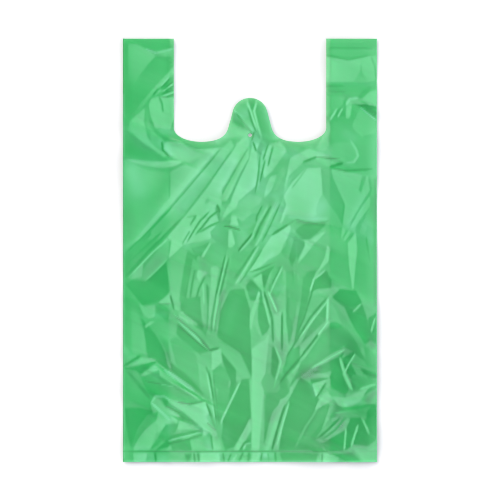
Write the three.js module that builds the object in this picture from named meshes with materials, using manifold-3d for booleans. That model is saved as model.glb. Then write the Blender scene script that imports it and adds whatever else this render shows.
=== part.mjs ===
// Vest carrier bag lying flat: one tube of blown film with a gusset folded into each side,
// welded across the foot and across the strap tops, and opened by a single die that cuts
// the mouth, frees the two straps and leaves a tongue with a hanging hole between them.
// Millimetres. +X runs across the bag, +Y from the foot to the strap tops, +Z is up.
// The origin is on the ground, under the middle of the bag.

import * as THREE from "three";
import { mergeVertices } from "three/addons/utils/BufferGeometryUtils.js";
import Module from "manifold-3d";

// The tube as it comes off the roll
const WIDTH = 300; // lay-flat width
const LENGTH = 500; // cut length
const GUSSET = 55; // depth of the fold in each side
const FILM = 0.025; // gauge of the film

// How the layers lie on each other
const AIR = 1.5; // air left between one layer and the next
const AIR_AT_WELD = 0.08;
const WELD_EASE = 60; // length over which the layers spread away from a weld
const GUSSET_STEP = 10; // width over which the front panel comes down off a gusset

// The welds
const SKIRT = 12; // foot edge to the middle of the foot weld
const FOOT_WELD = 2; // width of the foot weld
const STRAP_TRIM = 1.5; // strap tops to the middle of their welds
const STRAP_WELD = 2; // width of the strap welds
const WELD_BEAD = 0.025; // how far the melted bead stands above the film
const WELD_END = 0.5; // how far short of the side folds a weld stops

// The die, with depths measured down from the strap tops
const STRAP = 60; // width of each strap
const MOUTH_DEPTH = 122; // lowest point of the mouth
const LOWEST_AT = 57; // distance of that point from the middle
const CORNER_RISE = 16.5; // height of the round corner at the foot of a strap
const TONGUE_DEPTH = 70; // tip of the tongue
const TONGUE_RADIUS = 21;
const FLANK_ANGLE = THREE.MathUtils.degToRad(15); // lean of the tongue's sides
const FLANK_LENGTH = 21;
const HOLE_DIAMETER = 5;
const HOLE_DEPTH = 114;

// Fineness of the facets
const FOLD_STEPS = 6; // facets round each half-turn of film
const STEP_FACETS = 5; // facets across a gusset step
const EASE_FACETS = 6; // facets along the ease to a weld
const CURVE_STEPS = 10; // facets along each curve of the die
const HOLE_STEPS = 24;
const MERGE = 1e-4; // points closer than this are one

// Worked out from the dimensions above
const TOP = LENGTH / 2;
const FOOT = -LENGTH / 2;
const FOOT_WELD_Y = FOOT + SKIRT;
const STRAP_WELD_Y = TOP - STRAP_TRIM;
const SIDE = WIDTH / 2;
const GUSSET_EDGE = SIDE - GUSSET; // where the gusset's inner fold lies
const LAYERS_BELOW_FRONT = 3; // back panel and the two leaves of a gusset
const GUSSET_RISE = LAYERS_BELOW_FRONT - 1; // layers by which a gusset lifts the front panel
const BLADE_HEIGHT = 4 * LAYERS_BELOW_FRONT * (AIR + FILM); // reaches well past every layer

const filmMaterial = new THREE.MeshStandardMaterial({
  name: "film",
  color: 0x67cb8a,
  roughness: 0.35,
  metalness: 0,
  transparent: true,
  opacity: 0.85,
  side: THREE.DoubleSide,
});

const wasm = await Module();
wasm.setup();

// A closed three.js geometry as a solid that can be cut and joined
function solidOf(geometry) {
  const bare = new THREE.BufferGeometry();
  const source = geometry.index ? geometry.toNonIndexed() : geometry;
  bare.setAttribute("position", source.getAttribute("position"));
  const merged = mergeVertices(bare, MERGE);
  return new wasm.Manifold(
    new wasm.Mesh({
      numProp: 3,
      vertProperties: new Float32Array(merged.attributes.position.array),
      triVerts: new Uint32Array(merged.index.array),
    }),
  );
}

function geometryOf(solid) {
  const mesh = solid.getMesh();
  const geometry = new THREE.BufferGeometry();
  geometry.setAttribute("position", new THREE.BufferAttribute(mesh.vertProperties, 3));
  geometry.setIndex(new THREE.BufferAttribute(mesh.triVerts, 1));
  geometry.computeVertexNormals();
  return geometry;
}

// Height from one layer's middle to the next, which closes up towards the welds
function layerPitch(y) {
  const fromFoot = Math.abs(y - FOOT_WELD_Y) - FOOT_WELD;
  const fromStraps = Math.abs(y - STRAP_WELD_Y) - STRAP_WELD;
  const spread = THREE.MathUtils.smoothstep(Math.min(fromFoot, fromStraps), 0, WELD_EASE);
  return FILM + THREE.MathUtils.lerp(AIR_AT_WELD, AIR, spread);
}

// Height of the front panel's middle: it lies on the gussets and comes down between them
function frontHeight(x, pitch) {
  const overGusset = THREE.MathUtils.smoothstep(Math.abs(x), GUSSET_EDGE - GUSSET_STEP, GUSSET_EDGE);
  return FILM / 2 + pitch * (1 + GUSSET_RISE * overGusset);
}

// Half-turn of film about (x, z): points with the direction that faces out of the bag
function halfTurn(x, z, radius, towards, facesCentre) {
  const points = [];
  for (let i = 0; i <= FOLD_STEPS; i++) {
    const angle = -Math.PI / 2 + (Math.PI * i) / FOLD_STEPS;
    const radial = new THREE.Vector2(towards * Math.cos(angle), Math.sin(angle));
    const at = new THREE.Vector2(x, z).addScaledVector(radial, radius);
    points.push({ at, out: facesCentre ? radial.negate() : radial });
  }
  return points;
}

// Front panel where it comes down off the right gusset, from the gusset's edge inwards
function gussetStep(pitch) {
  const points = [];
  for (let i = 0; i <= STEP_FACETS; i++) {
    const t = 1 - i / STEP_FACETS;
    const x = GUSSET_EDGE - GUSSET_STEP * (1 - t);
    const slope = (6 * t * (1 - t) * GUSSET_RISE * pitch) / GUSSET_STEP; // smoothstep's slope is 6t(1-t)
    points.push({
      at: new THREE.Vector2(x, frontHeight(x, pitch)),
      out: new THREE.Vector2(-slope, 1).normalize(),
    });
  }
  return points;
}

// Right half of the folded tube's section, from the back panel round to the front panel
function halfSection(pitch) {
  const radius = pitch / 2;
  const level = (n) => FILM / 2 + pitch * n;
  const sideFold = SIDE - FILM / 2 - radius;
  const innerFold = GUSSET_EDGE + FILM / 2 + radius;
  return [
    ...halfTurn(sideFold, level(0.5), radius, 1, false),
    ...halfTurn(innerFold, level(1.5), radius, -1, true),
    ...halfTurn(sideFold, level(2.5), radius, 1, false),
    ...gussetStep(pitch),
  ];
}

// Whole section, anticlockwise from the back panel's right end
function section(pitch) {
  const right = halfSection(pitch);
  const left = right
    .map(({ at, out }) => ({
      at: new THREE.Vector2(-at.x, at.y),
      out: new THREE.Vector2(-out.x, out.y),
    }))
    .reverse();
  return [...right, ...left];
}

// Stations along the bag: the welds lie flat, and the layers spread away from them in short steps
function stations() {
  const along = new Set([FOOT, FOOT_WELD_Y - FOOT_WELD, TOP]);
  for (let i = 0; i <= EASE_FACETS; i++) {
    const ease = (WELD_EASE * i) / EASE_FACETS;
    along.add(FOOT_WELD_Y + FOOT_WELD + ease);
    along.add(STRAP_WELD_Y - STRAP_WELD - ease);
  }
  return [...along].sort((a, b) => a - b);
}

// The folded tube: its section lofted from the foot to the strap tops, with the film's thickness
function filmTube() {
  const rings = stations().map((y) => {
    const points = section(layerPitch(y));
    const skin = (side) =>
      points.map(({ at, out }) => {
        const p = at.clone().addScaledVector(out, (side * FILM) / 2);
        return new THREE.Vector3(p.x, y, p.y);
      });
    return { outer: skin(1), inner: skin(-1) };
  });
  const triangles = [];
  const quad = (a, b, c, d) => triangles.push(a, b, c, a, c, d);
  const count = rings[0].outer.length;
  const first = rings[0];
  const last = rings[rings.length - 1];
  for (let i = 0; i < count; i++) {
    const next = (i + 1) % count;
    for (let k = 0; k + 1 < rings.length; k++) {
      const [near, far] = [rings[k], rings[k + 1]];
      quad(near.outer[i], far.outer[i], far.outer[next], near.outer[next]);
      quad(near.inner[next], far.inner[next], far.inner[i], near.inner[i]);
    }
    quad(first.outer[next], first.inner[next], first.inner[i], first.outer[i]);
    quad(last.outer[i], last.inner[i], last.inner[next], last.outer[next]);
  }
  return new THREE.BufferGeometry().setFromPoints(triangles);
}

// A weld: the stack of layers melted together over a band across the bag
function weld(y, width) {
  const pitch = layerPitch(y);
  const reach = SIDE - WELD_END;
  const stepDown = gussetStep(pitch).map(({ at }) => at.x);
  const across = [reach, ...stepDown, ...stepDown.map((x) => -x).reverse(), -reach];
  const profile = new THREE.Shape();
  profile.moveTo(-reach, FILM / 2);
  profile.lineTo(reach, FILM / 2);
  for (const x of across) {
    profile.lineTo(x, frontHeight(x, pitch) + FILM / 2 + WELD_BEAD);
  }
  const band = new THREE.ExtrudeGeometry(profile, { depth: width, bevelEnabled: false });
  band.rotateX(Math.PI / 2); // the profile's height becomes +Z and the band runs towards -Y
  return band.translate(0, y + width / 2, 0);
}

// Right half of the mouth's edge, from the strap top down to the corner, up the tongue to its tip
function mouthEdge() {
  const strapEdge = SIDE - STRAP;
  const bladeTop = TOP + STRAP; // clear of the strap tops
  const cornerY = TOP - MOUTH_DEPTH + CORNER_RISE;
  const tongueY = TOP - TONGUE_DEPTH - TONGUE_RADIUS;
  const flankTop = new THREE.Vector2(Math.cos(FLANK_ANGLE), Math.sin(FLANK_ANGLE))
    .multiplyScalar(TONGUE_RADIUS)
    .add(new THREE.Vector2(0, tongueY));
  const flank = new THREE.Vector2(Math.sin(FLANK_ANGLE), -Math.cos(FLANK_ANGLE));
  const flankFoot = flankTop.clone().addScaledVector(flank, FLANK_LENGTH);
  const rise = flankFoot.y - (TOP - MOUTH_DEPTH);
  const meeting = flankFoot.clone().addScaledVector(flank, -rise / flank.y);
  const edge = new THREE.Path();
  edge.moveTo(strapEdge, bladeTop);
  edge.lineTo(strapEdge, cornerY);
  edge.absellipse(LOWEST_AT, cornerY, strapEdge - LOWEST_AT, CORNER_RISE, 0, -Math.PI / 2, true);
  edge.quadraticCurveTo(meeting.x, meeting.y, flankFoot.x, flankFoot.y);
  edge.lineTo(flankTop.x, flankTop.y);
  edge.absarc(0, tongueY, TONGUE_RADIUS, FLANK_ANGLE, Math.PI / 2, false);
  return edge.getPoints(CURVE_STEPS);
}

// The die: everything between the straps and above the mouth's edge, through all layers
function die() {
  const right = mouthEdge();
  const left = right
    .slice(0, -1)
    .map((p) => new THREE.Vector2(-p.x, p.y))
    .reverse();
  const blade = new THREE.ExtrudeGeometry(new THREE.Shape([...right, ...left]), {
    depth: BLADE_HEIGHT,
    bevelEnabled: false,
  });
  return blade.translate(0, 0, -BLADE_HEIGHT / 2);
}

// The punch for the hanging hole in the tongue
function punch() {
  const radius = HOLE_DIAMETER / 2;
  const pin = new THREE.CylinderGeometry(radius, radius, BLADE_HEIGHT, HOLE_STEPS);
  return pin.rotateX(Math.PI / 2).translate(0, TOP - HOLE_DEPTH, 0);
}

function carrierBag() {
  const welded = solidOf(filmTube())
    .add(solidOf(weld(FOOT_WELD_Y, FOOT_WELD)))
    .add(solidOf(weld(STRAP_WELD_Y, STRAP_WELD)));
  const cut = welded.subtract(solidOf(die())).subtract(solidOf(punch()));
  const bag = new THREE.Mesh(geometryOf(cut), filmMaterial);
  bag.name = "carrier_bag";
  return bag;
}

const part = new THREE.Group();
part.name = "vest_carrier_bag";
part.add(carrierBag());

export default part;
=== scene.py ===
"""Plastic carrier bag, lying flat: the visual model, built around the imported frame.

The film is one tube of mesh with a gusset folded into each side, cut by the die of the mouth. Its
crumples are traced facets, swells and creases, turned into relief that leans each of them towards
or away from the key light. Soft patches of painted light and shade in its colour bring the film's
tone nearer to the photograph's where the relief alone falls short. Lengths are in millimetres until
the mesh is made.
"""
import math

import bpy
import numpy as np
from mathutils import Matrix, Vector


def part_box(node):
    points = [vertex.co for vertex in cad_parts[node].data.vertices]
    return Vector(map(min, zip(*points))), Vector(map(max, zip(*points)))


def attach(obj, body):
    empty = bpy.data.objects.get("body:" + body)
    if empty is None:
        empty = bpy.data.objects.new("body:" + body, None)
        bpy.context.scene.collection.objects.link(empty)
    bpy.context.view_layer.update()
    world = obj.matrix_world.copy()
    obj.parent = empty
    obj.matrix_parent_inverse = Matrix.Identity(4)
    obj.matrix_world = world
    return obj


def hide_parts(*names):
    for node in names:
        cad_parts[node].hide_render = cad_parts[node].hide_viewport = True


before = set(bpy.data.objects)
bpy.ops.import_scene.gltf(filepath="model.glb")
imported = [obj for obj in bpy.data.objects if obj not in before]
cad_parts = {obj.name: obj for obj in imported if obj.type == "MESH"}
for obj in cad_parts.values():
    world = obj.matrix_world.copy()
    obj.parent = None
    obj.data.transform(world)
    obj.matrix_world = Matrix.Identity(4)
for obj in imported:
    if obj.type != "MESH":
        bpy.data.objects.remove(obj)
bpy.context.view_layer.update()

MM = 0.001

# The bag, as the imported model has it, and its area of film in square metres
NODE = "carrier_bag"
WIDTH = (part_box(NODE)[1][0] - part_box(NODE)[0][0]) / MM
LENGTH = (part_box(NODE)[1][1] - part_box(NODE)[0][1]) / MM
SIDE = WIDTH / 2
TOP = LENGTH / 2
GUSSET = 55.0
INNER_FOLD = SIDE - GUSSET
SKIRT = 12.0

# The die that cuts the mouth, the straps and the tongue: depths below the strap tops, and a margin above
STRAP_EDGE = 90.0
MOUTH_DEPTH = 122.0
LOWEST_AT = 57.0
CORNER_RISE = 16.5
TONGUE_DEPTH = 70.0
TONGUE_RADIUS = 21.0
FLANK_ANGLE = math.radians(15)
FLANK_LENGTH = 21.0
HOLE_RADIUS = 2.5
HOLE_DEPTH = 114.0
DIE_MARGIN = 10.0
ARC_STEPS = 14
CURVE_STEPS = 12

# Air between the layers: how far apart they lie, how they close up at folds and welds, and the share
# of the air that is left where the relief presses them down
PITCH = 0.4
PITCH_AT_FOLD = 0.06
FOLD_EASE = 14.0
WELD_EASE = 14.0
LEAST_AIR = 0.2

# Levels of the front panel and of the gussets' folds and leaves, in pitches above the back panel
FRONT_LEVEL = 3.0
GUSSET_LEVELS = (2.5, 2.0, 1.5, 1.0, 0.5)

# The mesh: its steps along the bag and around the tube, and how it is fitted to the die's edge
ROW_STEP = 1.57
FRONT_STEP = 1.05
BACK_STEPS = 10
LEAF_STEPS = 6
SNAP = 0.25
NUDGE = 0.01
CUT_PASSES = 14

# The photograph: where the bag lies in its 500 x 500 frame
PHOTO_SIZE = 500
PHOTO_LEFT = 122.95
PHOTO_RIGHT = 377.0
PHOTO_TOP = 38.75
PHOTO_BOTTOM = 461.85
PHOTO_X = (PHOTO_LEFT + PHOTO_RIGHT) / 2
PHOTO_Y = (PHOTO_TOP + PHOTO_BOTTOM) / 2
MM_PER_PIXEL = WIDTH / (PHOTO_RIGHT - PHOTO_LEFT)

# The canvas over the bag, in the photograph's pixels, and how soft the things laid on it are
CANVAS_MARGIN = 24
CANVAS_STEP = 0.5
LAST_CELL = 1.001
FACET_BLEND = 0.6
SOFT_REACHES = 2
SOFT_FALL = 2
CREASE_BLEND = 0.7
CREASE_TAPER = 0.2
CREASE_TIP = 0.35

# How far a crease must turn across the light to lean, how much painted light and shade it gets, and the
# full amount
LEAN_FROM = 0.25
LEAN_RANGE = 0.5
PAINTED_SHADING_ALONG_LIGHT = 1.2
PAINTED_SHADING_LOST_BY_LEANING = 0.7
FULL_PAINTED_SHADING = 60.0

# The relief: how tilts become heights, and how the layers under the front follow it
SLOPE_PER_TILT = 0.0097
CROSS_SLOPE_COST = 0.004
LONGEST_FOLD = 250.0
SHARPEN = 0.5
SHARPEN_RADIUS = 2.0
FRONT_BLUR = 0.25
UNDER_REACH = 7.0
UNDER_BLUR = 3.0
UNDER_DROP = 0.2
LIFT_PERCENT = 6
ROLL = 55.0
EDGE_HEIGHT = 0.7
PUNCH_PRESS = 0.6
PUNCH_REACH = 11.0

# The film's colours, from the darkest painted shade to the lightest painted highlight, and its mottle
FILM_PAINTED_SHADE = (0.010, 0.30, 0.06, 1)
FILM_COLOUR = (0.036, 0.668, 0.141, 1)
FILM_PAINTED_HIGHLIGHT = (0.22, 0.92, 0.42, 1)
FILM_ALPHA = 0.58
FILM_IOR = 1.65
FILM_SPECULAR = 1.0
MOTTLE_SCALE = (22.0, 7.0, 7.0)
MOTTLE_DETAIL = 1.0
MOTTLE_SHADE = (0.96, 1.04)
MOTTLE_ROUGHNESS = (0.28, 0.32)

# The floor, in metres
FLOOR_COLOUR = (0.51, 0.50, 0.48, 1)
FLOOR_ROUGHNESS = 0.9
FLOOR_SPECULAR = 0.1
FLOOR_HALF = 4.0
FLOOR_LEVEL = -0.0003

# Light: a dome that is bright on the key side, and two suns as azimuth, elevation, strength and softness
KEY_AZIMUTH = math.radians(-25)
DOME_COLOUR = (0.97, 1.0, 1.17, 1)
DOME_BRIGHT = 2.1
DOME_DIM = 0.1
DOME_EDGE = 0.08
DOME_BLEND = 0.4
TOP_SUN = (math.radians(90), math.radians(28), 0.7, math.radians(20))
FILL_SUN = (math.radians(138), math.radians(46), 4.9, math.radians(60))

# Camera: the height at which the photograph's scale holds, the lens, and what the render sees through
FILM_HEIGHT = 4.4
LENS = 200.0
SENSOR = 36.0
LAYERS_SEEN_THROUGH = 16
PIXEL_FILTER = 1.0

# Facets of the crumpled film, as traced. Each is a tilt in hundredths, towards the key light
# where it is positive, and its corners in the photograph's 500 x 500 frame. Two tilts fade from
# the first corner to the corner furthest from it. Later facets lie over earlier ones.
FACETS = [
    # Left strap
    (-4, (130, 39), (170, 39), (170, 48), (156, 51), (147, 49), (138, 44)),
    ((26, -2), (137, 44), (150, 51), (156, 55), (148, 64), (140, 75), (130, 92), (128, 92), (128, 44)),
    (0, (156, 57), (169, 55), (169, 66), (160, 76), (146, 97), (128, 118), (128, 95), (140, 78), (148, 64)),
    (13, (150, 51), (158, 53), (172, 50), (173, 56), (156, 56)),
    ((22, 6), (174, 66), (174, 74), (163, 83), (151, 97), (140, 111), (128, 121), (138, 107), (150, 92)),
    (27, (151, 99), (160, 96), (174, 98), (174, 118), (170, 130), (155, 127), (150, 115), (149, 105)),
    (28, (130, 121), (140, 112), (145, 108), (144, 122), (150, 146), (143, 143), (128, 131)),
    (8, (146, 105), (148, 106), (149, 116), (151, 129), (167, 157), (153, 145), (147, 131), (145, 118)),
    (-14, (152, 129), (158, 132), (168, 136), (178, 141), (174, 141), (166, 143), (160, 139)),
    (20, (152, 130), (166, 142), (165, 150), (168, 157), (163, 156), (153, 145), (150, 137)),
    # Left shoulder
    (-12, (124, 132), (133, 134), (147, 147), (163, 157), (176, 157), (164, 161), (150, 160), (124, 158)),
    (28, (133, 131), (143, 137), (150, 147), (165, 157), (160, 152), (152, 143), (146, 134)),
    ((38, 24), (166, 141), (180, 142), (222, 147), (200, 166), (180, 161), (172, 157), (164, 150)),
    (-8, (180, 141), (200, 142), (222, 141), (222, 147), (205, 150), (190, 148)),
    (38, (125, 159), (152, 162), (185, 161), (175, 166), (164, 168), (152, 167), (134, 163)),
    (12, (134, 164), (142, 165), (152, 168), (172, 169), (160, 175), (154, 174), (147, 170)),
    (17, (152, 172), (169, 172), (169, 200), (160, 214), (138, 240), (125, 250), (125, 161), (133, 164)),
    (21, (170, 172), (185, 164), (214, 150), (200, 166), (184, 186), (170, 204)),
    # Long diagonals
    ((26, 28), (217, 151), (200, 170), (172, 203), (150, 228), (138, 241), (134, 240), (158, 212),
     (195, 167)),
    ((23, 9), (232, 138), (238, 143), (226, 157), (213, 177), (188, 210), (160, 240), (143, 240),
     (180, 198), (222, 148)),
    (33, (230, 154), (222, 168), (222, 196), (195, 217), (172, 240), (164, 241), (186, 215), (210, 184)),
    (14, (217, 180), (214, 190), (203, 214), (205, 202), (211, 188)),
    (-4, (150, 231), (125, 254), (125, 262), (136, 250), (152, 234)),
    (1, (160, 232), (126, 266), (126, 270), (140, 257), (156, 241)),
    # Tongue
    (18, (229, 126), (232, 124), (241, 131), (249, 134), (244, 136), (232, 140), (228, 135)),
    (-27, (233, 112), (236, 111), (249, 130), (246, 131), (232, 121)),
    (0, (237, 108), (244, 100), (247, 103), (248, 115), (250, 127), (246, 122)),
    (-22, (248, 98), (256, 98), (254, 107), (251, 109)),
    (-9, (258, 102), (263, 104), (269, 116), (270, 130), (268, 140), (260, 139), (256, 128), (254, 115)),
    (-4, (270, 130), (276, 138), (284, 142), (276, 143), (266, 144)),
    (14, (226, 128), (231, 121), (230, 139), (222, 146), (215, 143)),
    (2, (247, 134), (240, 135), (230, 139), (234, 146), (240, 139)),
    (33, (238, 143), (246, 136), (250, 140), (249, 146), (245, 152), (227, 182), (217, 196), (206, 200),
     (214, 180)),
    (31, (250, 146), (249, 158), (241, 172), (227, 201), (219, 201), (229, 183), (238, 166)),
    (34, (251, 148), (257, 152), (258, 170), (256, 186), (240, 200), (231, 200), (240, 178), (249, 160)),
    (20, (258, 152), (264, 150), (262, 168), (258, 190), (255, 193), (258, 172)),
    (-12, (259, 143), (264, 144), (263, 150), (260, 158), (258, 150)),
    (28, (264, 152), (270, 144), (280, 142), (287, 150), (276, 168), (264, 178), (262, 168)),
    (7, (287, 152), (289, 158), (288, 168), (276, 191), (272, 192), (278, 172), (271, 173), (280, 160)),
    (6, (270, 175), (271, 177), (266, 184), (262, 200), (257, 200), (256, 192), (263, 182)),
    (24, (271, 176), (277, 175), (272, 190), (264, 198), (266, 186)),
    # Right strap
    (8, (326, 39), (376, 39), (376, 46), (362, 48), (326, 48)),
    (6, (326, 49), (376, 49), (372, 54), (350, 58), (335, 55), (326, 55)),
    (30, (326, 57), (348, 61), (370, 56), (377, 57), (377, 80), (368, 82), (326, 82)),
    (20, (361, 70), (368, 81), (354, 81)),
    (4, (326, 84), (340, 85), (355, 88), (370, 84), (366, 92), (358, 97), (345, 96), (326, 94)),
    (10, (326, 96), (345, 97), (342, 106), (335, 112), (326, 116)),
    (30, (357, 98), (360, 100), (352, 103), (350, 119), (346, 118), (346, 108), (349, 101)),
    (38, (354, 103), (362, 99), (370, 92), (377, 90), (377, 106), (364, 104)),
    (-28, (355, 105), (366, 104), (377, 107), (377, 119), (362, 109)),
    (12, (360, 109), (376, 122), (376, 132), (362, 137), (352, 128), (354, 120)),
    (0, (352, 106), (359, 106), (356, 118), (344, 133), (335, 136), (328, 134), (330, 126), (350, 117)),
    (14, (328, 118), (331, 128), (328, 136), (330, 150), (322, 152), (316, 148), (324, 134)),
    # Right shoulder
    (-2, (280, 141), (310, 142), (309, 148), (300, 154), (290, 152), (286, 147)),
    (28, (296, 155), (309, 149), (318, 152), (330, 157), (306, 160), (289, 176), (284, 190), (290, 158)),
    ((10, 14), (340, 159), (318, 158), (300, 165), (286, 182), (281, 205), (284, 206), (291, 180),
     (308, 167), (332, 168)),
    (37, (306, 168), (321, 168), (323, 200), (329, 224), (296, 222), (280, 223), (286, 205), (284, 196),
     (292, 182)),
    (-36, (296, 219), (306, 221), (320, 222), (329, 221), (318, 232), (309, 239), (302, 239), (296, 232)),
    ((12, 4), (322, 168), (330, 169), (343, 203), (342, 235), (336, 240), (329, 219), (322, 188)),
    (25, (331, 169), (368, 176), (370, 190), (352, 220), (341, 240), (345, 205), (333, 178)),
    (6, (362, 175), (367, 176), (361, 193), (359, 190)),
    (6, (326, 146), (340, 142), (352, 143), (358, 152), (357, 160), (345, 162), (330, 158)),
    (4, (344, 149), (352, 148), (355, 158), (346, 162)),
    (0, (360, 136), (365, 145), (370, 156), (371, 166), (366, 169), (361, 162), (359, 150)),
    (-8, (330, 167), (343, 168), (352, 173), (370, 170), (356, 168), (345, 166)),
    (10, (370, 175), (376, 176), (376, 230), (364, 222), (372, 190)),
    (24, (370, 196), (362, 206), (343, 240), (346, 240), (356, 226), (370, 206)),
    (10, (370, 214), (362, 224), (358, 240), (364, 240), (367, 226)),
    # Left flank
    (10, (169, 236), (169, 257), (150, 276), (143, 281), (143, 270), (150, 260), (160, 247)),
    (28, (143, 262), (142, 277), (130, 279), (136, 270)),
    (-19, (166, 261), (170, 292), (160, 302), (142, 305), (125, 284), (132, 280), (144, 281)),
    (20, (138, 302), (144, 306), (155, 306), (155, 316), (150, 319), (144, 316)),
    (-10, (156, 304), (166, 307), (170, 312), (168, 322), (158, 314)),
    (6, (131, 308), (137, 311), (141, 325), (145, 338), (145, 352), (132, 356)),
    (-19, (141, 318), (150, 328), (158, 338), (165, 352), (168, 368), (148, 360), (144, 330)),
    (24, (144, 326), (150, 322), (155, 321), (146, 328)),
    (14, (124, 345), (132, 356), (141, 355), (126, 366)),
    (34, (126, 367), (135, 362), (142, 357), (158, 360), (148, 363), (138, 365)),
    (-30, (125, 368), (140, 366), (157, 361), (148, 367), (141, 375), (136, 371)),
    (34, (157, 362), (160, 370), (152, 372), (140, 376), (148, 370)),
    (3, (125, 372), (134, 380), (150, 402), (146, 406), (126, 407)),
    # Middle left
    (3, (170, 258), (180, 249), (187, 252), (181, 280), (178, 310), (174, 309), (170, 280)),
    (30, (188, 215), (206, 203), (221, 197), (222, 207), (219, 222), (210, 232), (190, 230), (172, 238)),
    (33, (172, 236), (190, 230), (210, 232), (212, 240), (198, 244), (182, 246), (169, 258)),
    (-23, (188, 251), (198, 254), (192, 280), (190, 310), (180, 312), (184, 268)),
    (-26, (190, 247), (210, 241), (202, 256), (196, 256)),
    (22, (210, 242), (211, 244), (204, 257), (201, 256)),
    (-4, (213, 240), (222, 238), (222, 266), (212, 266), (203, 258)),
    (2, (197, 278), (201, 279), (197, 292), (192, 294)),
    (-16, (187, 251), (194, 252), (190, 270), (186, 290), (183, 302), (179, 302), (182, 280)),
    (-2, (193, 258), (198, 262), (195, 285), (190, 298), (186, 298), (190, 275)),
    (30, (251, 138), (257, 135), (261, 140), (257, 150), (254, 152), (252, 148)),
    (14, (222, 203), (230, 206), (226, 218), (221, 222), (220, 210)),
    (36, (198, 270), (208, 273), (203, 276), (199, 281), (197, 276)),
    (16, (211, 267), (219, 266), (214, 300), (209, 325), (208, 310), (211, 290)),
    (-4, (202, 284), (205, 284), (207, 320), (205, 330), (203, 310)),
    (-22, (182, 300), (200, 296), (202, 320), (206, 335), (196, 326), (184, 316)),
    (30, (170, 294), (171, 303), (158, 303)),
    (32, (178, 312), (181, 312), (198, 324), (196, 327), (180, 318)),
    (-22, (178, 324), (196, 340), (209, 351), (200, 354), (188, 346), (176, 334)),
    (-11, (170, 340), (175, 336), (190, 345), (198, 360), (200, 390), (176, 365)),
    (-10, (158, 336), (168, 340), (172, 368), (166, 352)),
    (-27, (170, 362), (190, 377), (207, 400), (196, 392), (172, 372)),
    (-2, (196, 362), (201, 355), (203, 357), (208, 385), (203, 390), (201, 368)),
    # Centre
    (-14, (215, 209), (219, 206), (220, 215), (219, 221)),
    (34, (232, 200), (240, 198), (236, 208), (222, 219), (228, 206)),
    (14, (240, 201), (250, 193), (262, 198), (258, 208), (242, 222), (234, 216), (226, 222)),
    (34, (232, 216), (236, 216), (239, 226), (230, 225)),
    (5, (225, 227), (253, 224), (252, 232), (240, 247), (236, 243), (238, 233)),
    (31, (229, 230), (232, 231), (235, 244), (232, 247), (228, 247)),
    (-5, (222, 226), (228, 229), (228, 247), (220, 268), (208, 264), (206, 256), (214, 240)),
    (-6, (232, 254), (240, 250), (250, 252), (244, 272), (228, 292), (224, 296), (228, 275)),
    (32, (272, 236), (292, 222), (290, 232), (279, 256), (250, 272), (262, 250)),
    (24, (256, 262), (250, 271), (234, 286), (242, 276)),
    (31, (253, 279), (261, 274), (263, 289), (258, 285)),
    (-40, (262, 274), (276, 265), (270, 272), (264, 289)),
    (-38, (246, 286), (251, 280), (262, 291), (268, 299), (250, 300)),
    (-28, (230, 290), (244, 289), (250, 310), (252, 378), (240, 352), (223, 342), (217, 336), (220, 312)),
    # Middle right
    (-10, (271, 273), (281, 262), (285, 285), (276, 300), (268, 292)),
    (-22, (286, 296), (292, 300), (293, 330), (289, 345), (286, 320)),
    (-23, (296, 234), (296, 258), (292, 266), (296, 285), (290, 290), (288, 275), (290, 250)),
    (2, (294, 222), (295, 235), (288, 262), (282, 285), (284, 262)),
    (31, (300, 239), (310, 240), (326, 231), (314, 244), (303, 258), (297, 264), (305, 246)),
    (-23, (296, 239), (304, 241), (305, 245), (297, 258)),
    (2, (318, 240), (330, 236), (332, 242), (322, 268), (304, 272), (300, 266), (312, 248)),
    (31, (327, 246), (330, 248), (328, 262), (315, 276), (325, 258)),
    (-8, (326, 273), (338, 276), (340, 287), (326, 288)),
    (-36, (315, 278), (326, 272), (331, 274), (331, 288), (318, 289), (310, 292)),
    (1, (331, 245), (340, 240), (346, 245), (350, 280), (348, 290), (328, 276)),
    (30, (348, 243), (356, 232), (357, 250), (353, 292), (349, 265)),
    (0, (358, 232), (366, 236), (371, 280), (364, 305), (356, 275)),
    (-30, (368, 318), (377, 312), (377, 345), (370, 340)),
    (-32, (332, 297), (340, 289), (356, 291), (362, 302), (353, 312), (336, 301)),
    (-26, (362, 303), (369, 325), (371, 340), (364, 345), (350, 320), (345, 308)),
    (-5, (331, 300), (345, 316), (366, 345), (360, 350), (342, 324)),
    (-26, (330, 322), (338, 323), (350, 332), (340, 338), (330, 332)),
    (-19, (330, 330), (344, 327), (354, 338), (366, 362), (350, 350), (332, 342)),
    (-8, (312, 295), (332, 292), (310, 320), (296, 345), (304, 310)),
    (-20, (326, 300), (326, 320), (300, 345), (312, 322)),
    (-14, (296, 270), (300, 290), (294, 325), (289, 315), (290, 295)),
    (-14, (286, 262), (293, 262), (292, 290), (286, 300)),
    (-12, (299, 270), (306, 272), (300, 300), (294, 330), (298, 305)),
    (-24, (304, 272), (316, 270), (308, 300), (298, 338), (294, 342), (300, 305)),
    (-20, (320, 338), (330, 324), (333, 340), (330, 352), (318, 352)),
    (-18, (328, 340), (345, 346), (311, 368), (296, 380), (300, 362)),
    # Lower centre
    (2, (208, 336), (222, 344), (243, 362), (249, 379), (243, 378), (220, 350)),
    (29, (212, 352), (221, 349), (222, 362), (212, 370)),
    (-17, (212, 370), (220, 366), (230, 370), (229, 385), (222, 392), (216, 388)),
    (-16, (217, 390), (230, 386), (237, 381), (241, 380), (231, 400), (221, 424), (218, 412)),
    (-32, (221, 352), (236, 370), (232, 385), (224, 364)),
    (-28, (231, 374), (236, 370), (236, 390), (232, 402), (229, 400)),
    (-15, (265, 382), (284, 372), (290, 384), (278, 392), (264, 396)),
    (-16, (264, 398), (279, 394), (277, 402), (270, 420), (264, 440)),
    (-34, (242, 379), (249, 379), (251, 418), (234, 446), (225, 450), (221, 436), (221, 424), (231, 402)),
    (26, (259, 290), (260, 295), (250, 330), (250, 315)),
    (-8, (250, 330), (255, 326), (261, 338), (252, 347)),
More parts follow.
